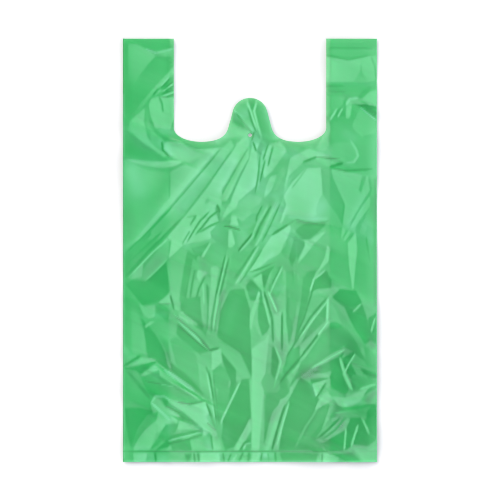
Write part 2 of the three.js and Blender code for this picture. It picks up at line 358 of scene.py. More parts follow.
    (-26, (258, 308), (261, 298), (266, 310), (270, 326), (267, 332), (262, 336), (258, 322)),
    (22, (274, 315), (282, 312), (279, 340), (277, 340)),
    (35, (269, 334), (264, 385), (259, 450), (252, 450), (252, 349), (265, 340)),
    (-29, (272, 346), (277, 350), (279, 362), (273, 384), (271, 372)),
    (-24, (288, 352), (300, 345), (300, 362), (278, 390), (283, 370)),
    (-14, (251, 433), (251, 450), (241, 450)),
    (30, (250, 418), (251, 430), (239, 450), (234, 450)),
    (-26, (266, 395), (285, 380), (290, 392), (272, 412), (264, 445)),
    (8, (280, 400), (286, 398), (271, 445), (265, 450)),
    (-34, (300, 378), (312, 385), (318, 398), (330, 405), (326, 418), (314, 450), (279, 450), (286, 405)),
    # Lower left
    (34, (158, 364), (166, 370), (180, 379), (192, 389), (206, 400), (196, 398), (182, 391), (160, 376)),
    (-14, (140, 377), (155, 374), (178, 386), (200, 400), (190, 403), (166, 395), (150, 396)),
    (-28, (125, 408), (140, 408), (150, 411), (138, 428), (131, 450), (126, 425)),
    (-26, (150, 411), (156, 412), (140, 434), (133, 450), (143, 421)),
    (22, (150, 402), (158, 398), (166, 408), (178, 414), (176, 418), (158, 430), (155, 420)),
    (31, (158, 396), (190, 405), (206, 402), (217, 430), (219, 450), (203, 450), (203, 428), (184, 412),
     (170, 402)),
    (-26, (162, 397), (168, 400), (169, 404), (165, 405)),
    (-12, (180, 412), (184, 412), (203, 429), (182, 420)),
    (31, (179, 420), (200, 428), (200, 430), (178, 429)),
    (16, (157, 415), (176, 414), (178, 418), (158, 432), (155, 424)),
    (30, (167, 407), (173, 412), (180, 414), (177, 424), (172, 419)),
    (-20, (166, 424), (178, 424), (176, 432), (158, 446), (150, 450)),
    (-40, (202, 431), (172, 435), (156, 450), (168, 447), (185, 437)),
    (12, (156, 414), (158, 428), (150, 449), (133, 450), (140, 434), (148, 420)),
    (-11, (148, 414), (158, 412), (157, 420), (146, 429), (137, 440), (133, 450), (130, 448), (137, 430)),
    (-28, (170, 441), (190, 440), (192, 450), (172, 450)),
    (1, (190, 440), (200, 438), (200, 450), (192, 450)),
    (-4, (202, 438), (210, 432), (212, 450), (203, 450)),
    (20, (216, 435), (220, 440), (221, 450), (215, 450)),
    # Lower right
    (-20, (324, 330), (328, 335), (316, 355), (292, 385), (284, 395), (305, 358)),
    (8, (345, 349), (325, 361), (311, 369), (332, 353)),
    (-26, (316, 368), (338, 357), (344, 352), (340, 362), (330, 371)),
    (-21, (310, 372), (325, 368), (330, 372), (316, 374)),
    (22, (311, 377), (318, 373), (329, 376), (322, 377)),
    (-33, (310, 379), (330, 378), (312, 384)),
    (28, (312, 384), (326, 380), (316, 397)),
    (29, (326, 391), (334, 399), (315, 410), (318, 402)),
    (-27, (330, 375), (338, 364), (349, 390), (345, 395), (331, 388)),
    (-29, (346, 372), (350, 362), (360, 382), (359, 389)),
    (-28, (330, 372), (338, 362), (346, 356), (354, 352), (352, 362), (344, 374)),
    (-32, (360, 368), (377, 373), (377, 380), (364, 374)),
    (-38, (366, 404), (377, 402), (377, 440), (370, 432), (362, 416)),
    (-14, (364, 345), (376, 355), (376, 372), (366, 366)),
    (-12, (352, 374), (372, 378), (377, 382), (362, 388), (350, 392)),
    (30, (333, 397), (345, 398), (356, 393), (370, 387), (366, 392), (360, 402), (348, 408), (338, 405)),
    (-20, (366, 376), (377, 378), (377, 400), (368, 402), (364, 394), (370, 386)),
    (4, (377, 389), (367, 393), (361, 399), (358, 405), (377, 404)),
    (-24, (338, 405), (348, 410), (366, 408), (366, 411), (345, 414), (334, 418), (328, 421), (329, 417)),
    (-10, (335, 413), (368, 408), (366, 420), (350, 420), (338, 420)),
    (-20, (337, 408), (370, 405), (370, 409), (340, 411), (334, 418)),
    (-12, (336, 402), (338, 404), (329, 418), (326, 417)),
    (-28, (322, 405), (328, 404), (326, 417), (300, 450), (296, 450), (316, 415)),
    (-34, (314, 440), (322, 442), (324, 451), (312, 451)),
    (-18, (327, 420), (338, 420), (320, 440), (315, 440)),
    (0, (350, 420), (337, 433), (321, 442), (340, 424)),
    (-38, (322, 443), (345, 430), (351, 418), (351, 446), (344, 451), (325, 451)),
    (-38, (350, 418), (360, 418), (376, 440), (368, 446), (351, 444)),
    # Skirt
    (4, (124, 453), (133, 453), (132, 461), (124, 461)),
    (28, (133, 453), (147, 453), (146, 461), (134, 461)),
    (2, (147, 453), (152, 453), (150, 461), (146, 461)),
    (5, (160, 453), (170, 453), (184, 453), (182, 461), (160, 461)),
    (-28, (185, 453), (192, 453), (190, 461), (186, 461)),
    (33, (201, 453), (219, 453), (220, 461), (200, 461)),
    (-8, (222, 453), (228, 453), (226, 461), (221, 461)),
    (4, (236, 453), (249, 453), (248, 461), (237, 461)),
    (33, (252, 453), (260, 453), (259, 461), (251, 461)),
    (-26, (280, 453), (318, 453), (316, 461), (282, 461)),
    (33, (320, 453), (340, 453), (338, 461), (321, 461)),
    (-30, (328, 453), (352, 453), (362, 461), (346, 461)),
    (33, (353, 448), (364, 451), (376, 447), (376, 461), (364, 461)),
]

# Soft swells of the film over the facets: added tilt, reach and the line that each follows, in pixels
SWELLS = [
    (24, 24, (132, 172), (150, 177)),
    (12, 10, (268, 172), (262, 198)),
    (12, 9, (284, 172), (276, 200)),
    (-6, 6, (376, 180), (376, 300)),
    (20, 12, (206, 163), (186, 184), (168, 206)),
    (8, 30, (236, 165), (248, 228)),
    (9, 16, (281, 188), (268, 236)),
    (-7, 18, (148, 62), (148, 84)),
    (-7, 14, (338, 88), (338, 112)),
    (-14, 24, (356, 356), (358, 398)),
    (-16, 8, (176, 138), (200, 143), (222, 141)),
    (11, 12, (178, 157), (200, 155), (214, 150)),
    (12, 30, (148, 50), (148, 125)),
    (-9, 5, (171, 45), (171, 125)),
    (-9, 5, (328, 45), (328, 125)),
    (-7, 26, (358, 180), (358, 440)),
    (-5, 24, (354, 45), (354, 130)),
]

# Painted light and shade in soft patches, where the relief alone leaves the film lighter or darker
# than in the photograph: amount, painted light where it is positive and painted shade where it is
# negative, reach and the line that each follows, in pixels
SHADES = [
    # Broad patches
    (9, 55, (170, 185), (340, 185)),
    (16, 30, (222, 168), (250, 190), (250, 230)),
    (12, 22, (302, 178), (318, 205)),
    (-8, 65, (190, 320), (330, 330)),
    (-12, 20, (330, 330), (345, 345)),
    (-18, 18, (270, 350), (272, 445)),
    (-18, 26, (354, 355), (362, 450)),
    (-8, 50, (300, 425), (345, 430)),
    # Straps and tongue
    (12, 4, (330, 84), (372, 84)),
    (24, 7, (237, 117), (247, 113)),
    (-24, 3, (253, 110), (258, 127)),
    (22, 6, (266, 112), (276, 137)),
    (22, 6, (163, 131), (175, 131)),
    (30, 7, (216, 140), (224, 134)),
    (-18, 5, (243, 128), (248, 132)),
    (44, 9, (253, 131), (254, 143)),
    (-14, 5, (326, 118), (328, 140)),
    (14, 7, (346, 134), (353, 138)),
    (14, 12, (128, 132), (148, 144)),
    # Shoulders
    (12, 16, (146, 140), (158, 146)),
    (24, 5, (161, 142), (170, 154)),
    (16, 10, (170, 147), (186, 151)),
    (16, 8, (262, 138), (268, 158)),
    (-16, 4, (276, 142), (302, 145)),
    (15, 6, (128, 160), (156, 163)),
    (26, 7, (286, 154), (294, 154)),
    (14, 6, (320, 155), (328, 155)),
    (12, 7, (374, 134), (374, 172)),
    (14, 7, (218, 170), (224, 162)),
    (24, 10, (262, 150), (259, 184)),
    (12, 14, (132, 168), (134, 190)),
    (12, 12, (132, 172), (140, 190)),
    (14, 5, (213, 155), (175, 203)),
    (16, 5, (235, 162), (220, 190)),
    (-24, 4, (243, 156), (234, 176), (223, 198)),
    (14, 6, (290, 178), (284, 192)),
    (-14, 12, (162, 178), (158, 200)),
    (14, 10, (202, 178), (180, 210)),
    (10, 7, (250, 190), (257, 182)),
    (18, 6, (266, 192), (274, 196)),
    # Upper middle
    (12, 8, (196, 194), (186, 206)),
    (-10, 10, (236, 212), (252, 206)),
    (24, 7, (277, 207), (284, 210)),
    (-14, 9, (372, 200), (375, 215)),
    (16, 12, (212, 210), (212, 234)),
    (14, 12, (284, 195), (268, 238)),
    (26, 3, (290, 217), (310, 219), (326, 219)),
    (26, 10, (321, 206), (314, 218)),
    (16, 9, (364, 198), (350, 226)),
    (-12, 10, (128, 215), (132, 235)),
    (12, 8, (162, 212), (127, 250)),
    (-22, 5, (250, 232), (255, 226)),
    (-16, 4, (273, 200), (262, 226), (252, 244)),
    (-30, 3, (298, 222), (310, 224), (324, 224)),
    (14, 6, (352, 225), (358, 235)),
    (12, 16, (362, 222), (366, 236)),
    (16, 8, (366, 225), (372, 240)),
    (20, 6, (189, 232), (186, 246)),
    (10, 12, (220, 232), (218, 256)),
    (15, 10, (289, 232), (298, 250)),
    (10, 16, (285, 235), (312, 242)),
    (16, 6, (196, 250), (203, 251)),
    # Lower middle
    (-20, 14, (140, 268), (160, 258)),
    (-18, 6, (203, 258), (205, 276)),
    (18, 5, (272, 255), (255, 270), (242, 280)),
    (-14, 8, (280, 264), (296, 272)),
    (-14, 8, (158, 264), (143, 282)),
    (24, 6, (251, 293), (262, 294)),
    (26, 6, (276, 290), (281, 288)),
    (-16, 5, (332, 285), (334, 290)),
    (-30, 5, (270, 292), (276, 310)),
    (20, 6, (156, 316), (164, 315)),
    (-12, 16, (214, 300), (210, 335)),
    (-32, 5, (223, 292), (214, 326)),
    (14, 10, (236, 302), (224, 332)),
    (-18, 9, (334, 300), (346, 316)),
    (-14, 8, (362, 308), (374, 308)),
    (-12, 14, (278, 300), (284, 350)),
    (20, 5, (283, 312), (286, 330)),
    (-22, 4, (296, 318), (293, 340)),
    (24, 4, (331, 324), (337, 325)),
    (10, 14, (172, 338), (195, 346)),
    (-22, 9, (301, 344), (310, 334)),
    (14, 6, (355, 325), (372, 350)),
    (-14, 7, (371, 316), (371, 346)),
    (-28, 5, (370, 342), (372, 346)),
    # Lower part
    (14, 9, (323, 338), (312, 362)),
    (14, 7, (344, 346), (330, 352)),
    (12, 8, (126, 352), (134, 360)),
    (-16, 5, (144, 357), (150, 358)),
    (-12, 7, (164, 346), (170, 364)),
    (-22, 5, (167, 354), (170, 372)),
    (-18, 6, (281, 346), (283, 362)),
    (18, 6, (293, 350), (283, 376)),
    (-16, 14, (310, 368), (345, 350)),
    (24, 5, (342, 357), (347, 361)),
    (16, 6, (155, 368), (157, 376)),
    (-42, 8, (303, 376), (316, 369)),
    (-26, 5, (342, 364), (347, 376), (352, 388)),
    (-14, 8, (130, 372), (140, 384)),
    (-12, 9, (226, 386), (236, 382)),
    (-16, 4, (304, 376), (322, 380)),
    (-12, 6, (162, 386), (192, 398)),
    (24, 5, (312, 386), (315, 395)),
    (-34, 5, (368, 400), (374, 393)),
    (10, 14, (188, 408), (200, 420)),
    (22, 5, (206, 408), (208, 420)),
    (-18, 4, (284, 402), (271, 420)),
    (30, 7, (346, 404), (360, 401)),
    (14, 8, (348, 404), (366, 406)),
    (-14, 7, (156, 404), (140, 436)),
    (14, 8, (174, 408), (168, 430)),
    (-16, 5, (322, 404), (304, 430)),
    (-34, 9, (337, 408), (340, 424)),
    (-14, 5, (178, 432), (196, 434)),
    (22, 5, (199, 428), (207, 433), (210, 449)),
    (-20, 5, (213, 430), (216, 438)),
    (14, 7, (225, 432), (226, 440)),
    (-24, 4, (249, 420), (244, 438)),
    (-18, 8, (340, 428), (324, 440)),
    (14, 6, (138, 448), (148, 450)),
    (24, 4, (276, 424), (265, 456)),
    (-16, 9, (304, 446), (322, 446)),
    (-16, 6, (352, 446), (366, 445)),
    # Skirt
    (22, 7, (140, 458), (164, 459)),
    (20, 6, (219, 456), (230, 457)),
    (34, 6, (262, 455), (272, 455)),
    (-20, 4, (330, 453), (352, 453)),
    # Rims: painted highlight along the left side and the foot, painted shade along part of the right side
    (-22, 2.5, (375.5, 180), (375.5, 305)),
    (36, 2, (123, 95), (123, 458)),
    (36, 1.6, (125, 461.5), (375, 461.5)),
]

# Creases between and across the facets, which also get painted shade and highlight: tilt, width and
# the line that each follows, in pixels
CREASES = [
    # Left strap
    (30, 2.0, (146, 49), (156, 53), (173, 49)),
    (-34, 1.4, (161, 88), (170, 79)),
    (38, 1.4, (161, 86), (169, 77)),
    (-40, 1.4, (163, 90), (173, 81)),
    (38, 1.4, (163, 91), (173, 84)),
    (-34, 1.4, (165, 91), (174, 86)),
    (-40, 1.3, (162, 94), (168, 92), (174, 90)),
    (40, 1.4, (163, 96), (174, 92)),
    (-36, 1.3, (162, 97), (168, 97), (174, 94)),
    (-14, 1.4, (153, 95), (159, 88)),
    (20, 1.2, (155, 96), (161, 89)),
    (-6, 1.4, (159, 96), (162, 104), (163, 112)),
    (-22, 1.4, (162, 142), (163, 150), (169, 157)),
    # Long diagonals
    (8, 1.4, (222, 148), (200, 174), (170, 209)),
    (-6, 1.5, (172, 207), (158, 222), (126, 253)),
    (9, 1.4, (236, 145), (208, 184), (186, 213), (176, 224)),
    (-10, 1.2, (162, 232), (127, 264)),
    (-20, 1.4, (180, 220), (150, 250), (125, 277)),
    (32, 1.3, (170, 237), (152, 253), (128, 278)),
    # Tongue
    (44, 2.0, (234, 110), (247, 127)),
    (-38, 1.5, (236, 113), (252, 133)),
    (36, 1.8, (247, 102), (251, 113), (257, 130)),
    (36, 1.8, (256, 104), (254, 111), (262, 141)),
    (-30, 1.3, (248, 108), (252, 122), (256, 132)),
    (-30, 1.4, (254, 132), (252, 140)),
    (-30, 1.3, (253, 142), (256, 151)),
    (-6, 1.3, (260, 157), (258, 178), (255, 193)),
    (-14, 1.3, (265, 160), (260, 182)),
    (-12, 1.3, (268, 145), (263, 160)),
    (-12, 1.3, (273, 146), (268, 166)),
    # Right strap
    (-14, 1.4, (329, 48), (362, 48), (372, 49)),
    (-16, 1.5, (326, 55), (348, 60), (371, 55)),
    (-14, 1.3, (371, 56), (375, 66), (376, 80)),
    (4, 1.2, (361, 63), (361, 74)),
    (-6, 3.0, (358, 98), (364, 92), (371, 87)),
    (34, 2.4, (358, 98), (350, 99), (346, 105)),
    (-22, 2.4, (358, 105), (377, 108)),
    (-22, 4.0, (366, 108), (377, 114)),
    (-20, 1.5, (326, 86), (344, 86)),
    (-18, 1.4, (326, 91), (346, 92)),
    (48, 1.5, (360, 107), (376, 120)),
    (36, 1.5, (337, 109), (330, 120)),
    (34, 1.4, (343, 108), (337, 118)),
    (-10, 1.2, (337, 110), (337, 121)),
    (-8, 1.2, (343, 109), (339, 119)),
    # Right shoulder
    (-38, 1.5, (303, 162), (316, 157), (340, 159)),
    (-34, 1.5, (295, 219), (304, 222), (318, 224), (328, 221)),
    (16, 1.5, (307, 168), (292, 188)),
    (24, 2.0, (350, 140), (356, 149), (358, 156), (354, 162), (346, 163)),
    (-34, 2.2, (330, 167), (343, 163)),
    (-24, 2.0, (332, 168), (345, 171), (372, 169)),
    # Left half
    (18, 1.5, (167, 260), (145, 281)),
    (-40, 1.5, (158, 304), (170, 304)),
    (-48, 1.5, (170, 295), (174, 309)),
    (32, 1.3, (174, 314), (190, 330), (200, 340)),
    (-45, 1.5, (176, 317), (196, 334), (209, 347)),
    (38, 1.3, (178, 321), (196, 338), (208, 349)),
    (-40, 1.3, (178, 325), (196, 341), (208, 351)),
    (-30, 1.4, (206, 366), (212, 390)),
    (-6, 1.3, (190, 231), (182, 244)),
    (-24, 2.4, (217, 205), (220, 212)),
    (-26, 1.4, (218, 211), (210, 217), (203, 226), (196, 234)),
    (-24, 1.4, (219, 222), (210, 226), (200, 232)),
    (-24, 1.2, (209, 212), (200, 221), (193, 232), (187, 242)),
    (-18, 1.2, (187, 217), (196, 216), (190, 225)),
    (-30, 1.4, (205, 277), (199, 288), (196, 300)),
    (-26, 1.4, (195, 270), (192, 284), (190, 298)),
    (16, 1.5, (203, 283), (204, 304)),
    (-28, 1.4, (207, 284), (208, 304)),
    (-24, 1.8, (124, 366), (141, 355)),
    (34, 4.0, (164, 370), (182, 382), (194, 391)),
    (-28, 1.5, (145, 381), (170, 386)),
    (22, 1.4, (160, 384), (175, 387)),
    (-20, 3.4, (128, 372), (150, 398)),
    (-45, 1.8, (178, 402), (190, 404), (205, 401)),
    (32, 3.0, (152, 403), (170, 420)),
    (-28, 1.8, (166, 406), (180, 413)),
    (40, 1.5, (168, 441), (185, 436), (202, 432)),
    (-52, 1.8, (201, 341), (210, 350), (219, 348)),
    (-45, 1.5, (206, 402), (215, 428)),
    (30, 1.3, (207, 372), (211, 396), (216, 426)),
    (-34, 1.3, (209, 370), (213, 395), (217, 428)),
    (-26, 1.3, (213, 375), (216, 398), (219, 425)),
    (30, 2.0, (151, 403), (156, 396), (164, 396), (170, 400)),
    (-36, 1.6, (202, 435), (185, 440), (166, 444)),
    (-40, 1.5, (207, 423), (216, 431)),
    (-24, 1.5, (211, 435), (213, 450)),
    # Centre
    (-55, 1.5, (254, 232), (238, 251)),
    (36, 1.3, (254, 235), (240, 251)),
    (-44, 1.3, (225, 256), (215, 300)),
    (-40, 1.2, (229, 258), (220, 295)),
    (14, 1.3, (227, 256), (217, 298), (213, 328)),
    (24, 1.3, (283, 266), (275, 282), (270, 294)),
    (-30, 1.2, (280, 268), (272, 284)),
    (-45, 1.8, (224, 226), (231, 227), (240, 230)),
    (30, 1.3, (268, 206), (258, 223), (251, 238)),
    (-30, 1.3, (271, 206), (261, 224), (254, 240)),
    (-26, 1.3, (262, 206), (257, 216), (256, 222)),
    (34, 1.3, (278, 200), (268, 220), (260, 238), (251, 254)),
    (-12, 1.3, (280, 204), (271, 224), (262, 242)),
    (-26, 1.3, (256, 246), (246, 262), (234, 279)),
    (32, 1.3, (259, 246), (249, 263), (236, 283)),
    (-22, 1.3, (262, 250), (251, 267), (239, 284)),
    (-35, 2.0, (272, 235), (295, 220)),
    (-36, 1.4, (250, 272), (262, 268), (276, 262)),
    (-28, 1.5, (254, 277), (272, 267)),
    (-24, 1.5, (208, 286), (208, 318), (206, 334)),
    (-26, 1.3, (216, 296), (212, 318), (211, 334)),
    (10, 1.3, (219, 296), (215, 316), (213, 332)),
    (-20, 1.3, (221, 300), (217, 318), (214, 334)),
    (32, 1.5, (240, 382), (222, 420), (221, 430)),
    (18, 1.5, (262, 291), (270, 325)),
    (28, 1.8, (268, 291), (277, 312)),
    (-50, 1.4, (264, 291), (272, 318)),
    (-46, 1.5, (272, 318), (273, 342)),
    (-50, 1.5, (282, 313), (282, 350)),
    (16, 1.5, (275, 347), (281, 362), (274, 388)),
    # Right half
    (36, 1.4, (310, 292), (314, 279), (320, 275), (325, 270)),
    (-44, 1.3, (328, 296), (310, 318), (286, 358)),
    (30, 1.1, (329, 299), (312, 321), (300, 337)),
    (38, 1.6, (328, 298), (327, 322)),
    (20, 1.4, (353, 312), (361, 304)),
    (-52, 1.5, (326, 324), (314, 340), (300, 358)),
    (36, 1.5, (328, 322), (318, 335)),
    (-34, 1.4, (315, 282), (304, 318), (296, 336)),
    (-52, 1.5, (300, 358), (286, 374), (274, 392)),
    (6, 1.5, (300, 363), (287, 378)),
    (-22, 1.5, (346, 345), (330, 354), (310, 368)),
    (28, 1.5, (344, 350), (326, 360), (312, 368)),
    (-26, 3.5, (361, 370), (377, 377)),
    (-20, 2.5, (318, 408), (305, 428), (294, 450)),
    (-46, 1.3, (326, 383), (316, 398)),
    (6, 3.0, (340, 358), (345, 375), (352, 390)),
    (34, 1.2, (355, 354), (350, 362), (345, 372)),
    (14, 2.0, (360, 389), (376, 384)),
    (-12, 2.0, (335, 413), (350, 411), (372, 408)),
    (-55, 1.5, (340, 418), (330, 428), (318, 438)),
    (-38, 1.8, (346, 417), (335, 430), (321, 440)),
    (14, 1.5, (346, 428), (344, 450)),
    (14, 1.8, (358, 425), (351, 446)),
    (12, 1.5, (363, 420), (369, 434)),
    (-55, 1.8, (285, 405), (278, 428), (272, 450)),
    (24, 1.6, (289, 402), (284, 420), (277, 445)),
    (-40, 1.3, (240, 450), (244, 443), (250, 440)),
    (30, 1.2, (243, 450), (246, 444), (251, 443)),
    (18, 1.3, (375, 318), (371, 332)),
    (-12, 1.5, (366, 237), (370, 262)),
    # Skirt
    (-36, 1.3, (123, 451.5), (377, 451.5)),
    (24, 1.2, (185, 453.2), (262, 453.2)),
    (-34, 1.5, (155, 453), (156, 461)),
    (-40, 1.3, (194, 453), (195, 461)),
    (-40, 1.3, (198, 453), (199, 461)),
    (-22, 1.3, (262, 453), (261, 461)),
    (-6, 1.3, (268, 453), (269, 461)),
    (-34, 1.3, (223, 453), (224, 461)),
    (-34, 1.3, (231, 454), (228, 461)),
    (28, 1.4, (237, 454), (233, 461)),
    (-34, 1.3, (243, 453), (239, 461)),
    (-30, 1.3, (249, 453), (248, 461)),
    (-30, 1.5, (275, 453), (276, 461)),
    (-36, 1.4, (322, 453), (322, 461)),
    (-30, 1.4, (342, 453), (345, 461)),
]


def ease(t):
    """Smooth step from 0 to 1 as t goes from 0 to 1."""
    t = np.clip(t, 0, 1)
    return t * t * (3 - 2 * t)


def segment_distance(start, end, x, y):
    """Distance from each point to a segment, and where on it the nearest place is, from 0 to 1."""
    run_x = end[0] - start[0]
    run_y = end[1] - start[1]
    along = ((x - start[0]) * run_x + (y - start[1]) * run_y) / (run_x**2 + run_y**2)
    along = np.clip(along, 0, 1)
    return np.hypot(x - start[0] - along * run_x, y - start[1] - along * run_y), along


def inside_distance(outline, x, y):
    """Distance from each point to a closed outline, positive inside it."""
    inside = np.zeros(x.shape, bool)
    nearest = np.full(x.shape, np.inf)
    for (ax, ay), (bx, by) in zip(outline, outline[1:] + outline[:1]):
        distance, _ = segment_distance((ax, ay), (bx, by), x, y)
        nearest = np.minimum(nearest, distance)
        if ay != by:
            inside ^= ((ay > y) != (by > y)) & (x < (bx - ax) * (y - ay) / (by - ay) + ax)
    return np.where(inside, nearest, -nearest)


def line_distance(line, x, y):
    """Distance from each point to a line of segments, with two facts about the nearest place on it.

    They are how far that place is from the line's nearer end, as a share of the line's length, and
    how far its segment turns across the light, from 0 to 1.
    """
    nearest = np.full(x.shape, np.inf)
    place = np.zeros(x.shape)
    across_light = np.zeros(x.shape)
    run = 0.0
    for start, end in zip(line, line[1:]):
        length = math.dist(start, end)
        turn = (end[0] - start[0]) * math.sin(KEY_AZIMUTH) + (end[1] - start[1]) * math.cos(KEY_AZIMUTH)
        distance, along = segment_distance(start, end, x, y)
        closer = distance < nearest
        place[closer] = (run + along * length)[closer]
        across_light[closer] = abs(turn) / length
        nearest = np.minimum(nearest, distance)
        run += length
    return nearest, np.minimum(place, run - place) / run, across_light


def lowest_around(field, reach):
    """The lowest value within some steps of each place, along and across."""
    for axis in (0, 1):
        field = np.minimum.reduce([np.roll(field, shift, axis) for shift in range(-reach, reach + 1)])
    return field


class Canvas:
    """The film's tilt towards the key light and painted light and shade, over the bag in the photograph's
    pixels.
    """

    def __init__(self):
        self.left = PHOTO_LEFT - CANVAS_MARGIN
        self.top = PHOTO_TOP - CANVAS_MARGIN
        across = np.arange(self.left, PHOTO_RIGHT + CANVAS_MARGIN, CANVAS_STEP)
        down = np.arange(self.top, PHOTO_BOTTOM + CANVAS_MARGIN, CANVAS_STEP)
        self.x, self.y = np.meshgrid(across, down)
        self.tilt = np.zeros(self.x.shape)
        self.painted_shading = np.zeros(self.x.shape)

    def window(self, points, margin):
        """The slice of the canvas around some points."""
        xs, ys = zip(*points)
        first_column = max(0, int((min(xs) - margin - self.left) / CANVAS_STEP))
        last_column = int((max(xs) + margin - self.left) / CANVAS_STEP) + 1
        first_row = max(0, int((min(ys) - margin - self.top) / CANVAS_STEP))
        last_row = int((max(ys) + margin - self.top) / CANVAS_STEP) + 1
        return np.s_[first_row:last_row, first_column:last_column]

    def lay_facet(self, tilt, *corners):
        """Gives a facet its tilt, or a fade between two tilts."""
        part = self.window(corners, FACET_BLEND)
        x, y = self.x[part], self.y[part]
        cover = np.clip(0.5 + inside_distance(list(corners), x, y) / FACET_BLEND, 0, 1)
        if isinstance(tilt, tuple):
            near = corners[0]
            far = max(corners, key=lambda corner: math.dist(corner, near))
            _, along = segment_distance(near, far, x, y)
            tilt = tilt[0] + (tilt[1] - tilt[0]) * along
        self.tilt[part] += cover * (tilt - self.tilt[part])

    def lay_soft(self, field, amount, reach, *line):
        """Adds an amount to the tilt or to the painted light and shade, full on a line and fading away from
        it.
        """
        part = self.window(line, SOFT_REACHES * reach)
        distance, _, _ = line_distance(line, self.x[part], self.y[part])
        field[part] += amount * np.exp(-SOFT_FALL * (distance / reach) ** 2)

    def lay_crease(self, tilt, width, *line):
        """Gives a narrow strip along a line its tilt, with tapering ends.

        A crease also gets painted shade where its tilt is negative and a painted highlight where it is
        positive, more strongly where it runs with the light, because there it can't lean towards it.
        """
        part = self.window(line, width)
        distance, from_end, across_light = line_distance(line, self.x[part], self.y[part])
        taper = np.clip(CREASE_TIP + from_end / CREASE_TAPER, 0, 1)
        cover = np.clip(0.5 + (width / 2 * taper - distance) / CREASE_BLEND, 0, 1)
        lean = np.clip((across_light - LEAN_FROM) / LEAN_RANGE, 0, 1)
        # The crease's painted shade and highlight, strongest where it runs with the light and can't lean
        painted_shading = tilt * (PAINTED_SHADING_ALONG_LIGHT - PAINTED_SHADING_LOST_BY_LEANING * lean)
        self.tilt[part] += cover * lean * (tilt - self.tilt[part])
        self.painted_shading[part] += cover * (painted_shading - self.painted_shading[part])

    def relief(self):
        """Heights of the front and of the layers under it, in millimetres.

        The front's slope towards the key light follows the tilts. The layers under it are smoother
        and lie below its hollows.
        """
        rows, columns = self.tilt.shape
        wave_x = 2 * math.pi * np.fft.fftfreq(columns, CANVAS_STEP)[None, :]
        wave_y = 2 * math.pi * np.fft.fftfreq(rows, CANVAS_STEP)[:, None]
        square = wave_x**2 + wave_y**2

        def blur(radius):
            """What a blur leaves of each wave."""
            return np.exp(-square * radius**2 / 2)

        towards_light = wave_x * math.cos(KEY_AZIMUTH) - wave_y * math.sin(KEY_AZIMUTH)
        sharpen = 1 + SHARPEN * (1 - blur(SHARPEN_RADIUS))
        cost = towards_light**2 + CROSS_SLOPE_COST * square + (2 * math.pi / LONGEST_FOLD) ** 2
        slope = np.fft.fft2(self.tilt * SLOPE_PER_TILT) * sharpen
        height = 1j * towards_light * slope / cost * MM_PER_PIXEL
        front = np.fft.ifft2(height * blur(FRONT_BLUR)).real
        hollows = np.fft.fft2(lowest_around(front, round(UNDER_REACH / CANVAS_STEP)))
        under = np.fft.ifft2(hollows * blur(UNDER_BLUR)).real
        return front, under

    def sample(self, field, x, y):
        """A field at points given in the bag's millimetres, blended between its four nearest places."""
        across = (x / MM_PER_PIXEL + PHOTO_X - self.left) / CANVAS_STEP
        down = (PHOTO_Y - y / MM_PER_PIXEL - self.top) / CANVAS_STEP
        across = np.clip(across, 0, field.shape[1] - LAST_CELL)
        down = np.clip(down, 0, field.shape[0] - LAST_CELL)
        column = across.astype(int)
        row = down.astype(int)
        across -= column
        down -= row
        upper = field[row, column] * (1 - across) + field[row, column + 1] * across
        lower = field[row + 1, column] * (1 - across) + field[row + 1, column + 1] * across
        return upper * (1 - down) + lower * down


def traced_canvas():
    """The canvas with the facets, swells, painted light and shade, and creases laid on it."""
    canvas = Canvas()
    for facet in FACETS:
        canvas.lay_facet(*facet)
    for swell in SWELLS:
        canvas.lay_soft(canvas.tilt, *swell)
    # Soft patches of painted light and shade in the film's colour
    for shade in SHADES:
        canvas.lay_soft(canvas.painted_shading, *shade)
    for crease in CREASES:
        canvas.lay_crease(*crease)
    return canvas


def arc(centre, radii, start, end):
    """Points of an elliptical arc, by angle in radians."""
    angles = np.linspace(start, end, ARC_STEPS)
    return [(centre[0] + radii[0] * math.cos(a), centre[1] + radii[1] * math.sin(a)) for a in angles]


def curve(start, control, end):
    """Points of a quadratic curve, without its first one."""
    points = []
    for t in np.linspace(0, 1, CURVE_STEPS)[1:]:
        weights = ((1 - t) ** 2, 2 * t * (1 - t), t**2)
        points.append(tuple(np.dot(weights, axis) for axis in zip(start, control, end)))
    return points


def die_outline():
    """The cut-out of the mouth as a closed outline."""
    corner = (LOWEST_AT, TOP - MOUTH_DEPTH + CORNER_RISE)
    lowest = (LOWEST_AT, TOP - MOUTH_DEPTH)
    tip_centre = (0.0, TOP - TONGUE_DEPTH - TONGUE_RADIUS)
    flank_x = TONGUE_RADIUS * math.cos(FLANK_ANGLE) + FLANK_LENGTH * math.sin(FLANK_ANGLE)
    flank_y = tip_centre[1] + TONGUE_RADIUS * math.sin(FLANK_ANGLE) - FLANK_LENGTH * math.cos(FLANK_ANGLE)
    meet = (flank_x + (flank_y - lowest[1]) * math.tan(FLANK_ANGLE), lowest[1])
    right = [(STRAP_EDGE, TOP + DIE_MARGIN)]
    right += arc(corner, (STRAP_EDGE - LOWEST_AT, CORNER_RISE), 0, -math.pi / 2)
    right += curve(lowest, meet, (flank_x, flank_y))
    right += arc(tip_centre, (TONGUE_RADIUS, TONGUE_RADIUS), FLANK_ANGLE, math.pi / 2)
    left = [(-x, y) for x, y in reversed(right[:-1])]
    return right + left


def film_distance(x, y, outline):
    """How far a point of a panel lies inside the film, negative in the mouth or the hanging hole."""
    mouth = -inside_distance(outline, x, y)
    hole = np.hypot(x, y - (TOP - HOLE_DEPTH)) - HOLE_RADIUS
    return np.minimum(mouth, hole)


def gusset_stations(side, leaf_x, levels):
    """Places around one gusset, from one side fold by way of the inner fold to the other side fold."""
    first_fold, first_leaf, inner_fold, second_leaf, second_fold = levels
    stations = [(side * SIDE, first_fold, False)]
    stations += [(side * x, first_leaf, False) for x in leaf_x]
    stations += [(side * INNER_FOLD, inner_fold, False)]
    stations += [(side * x, second_leaf, False) for x in leaf_x[::-1]]
    stations += [(side * SIDE, second_fold, False)]
    return stations


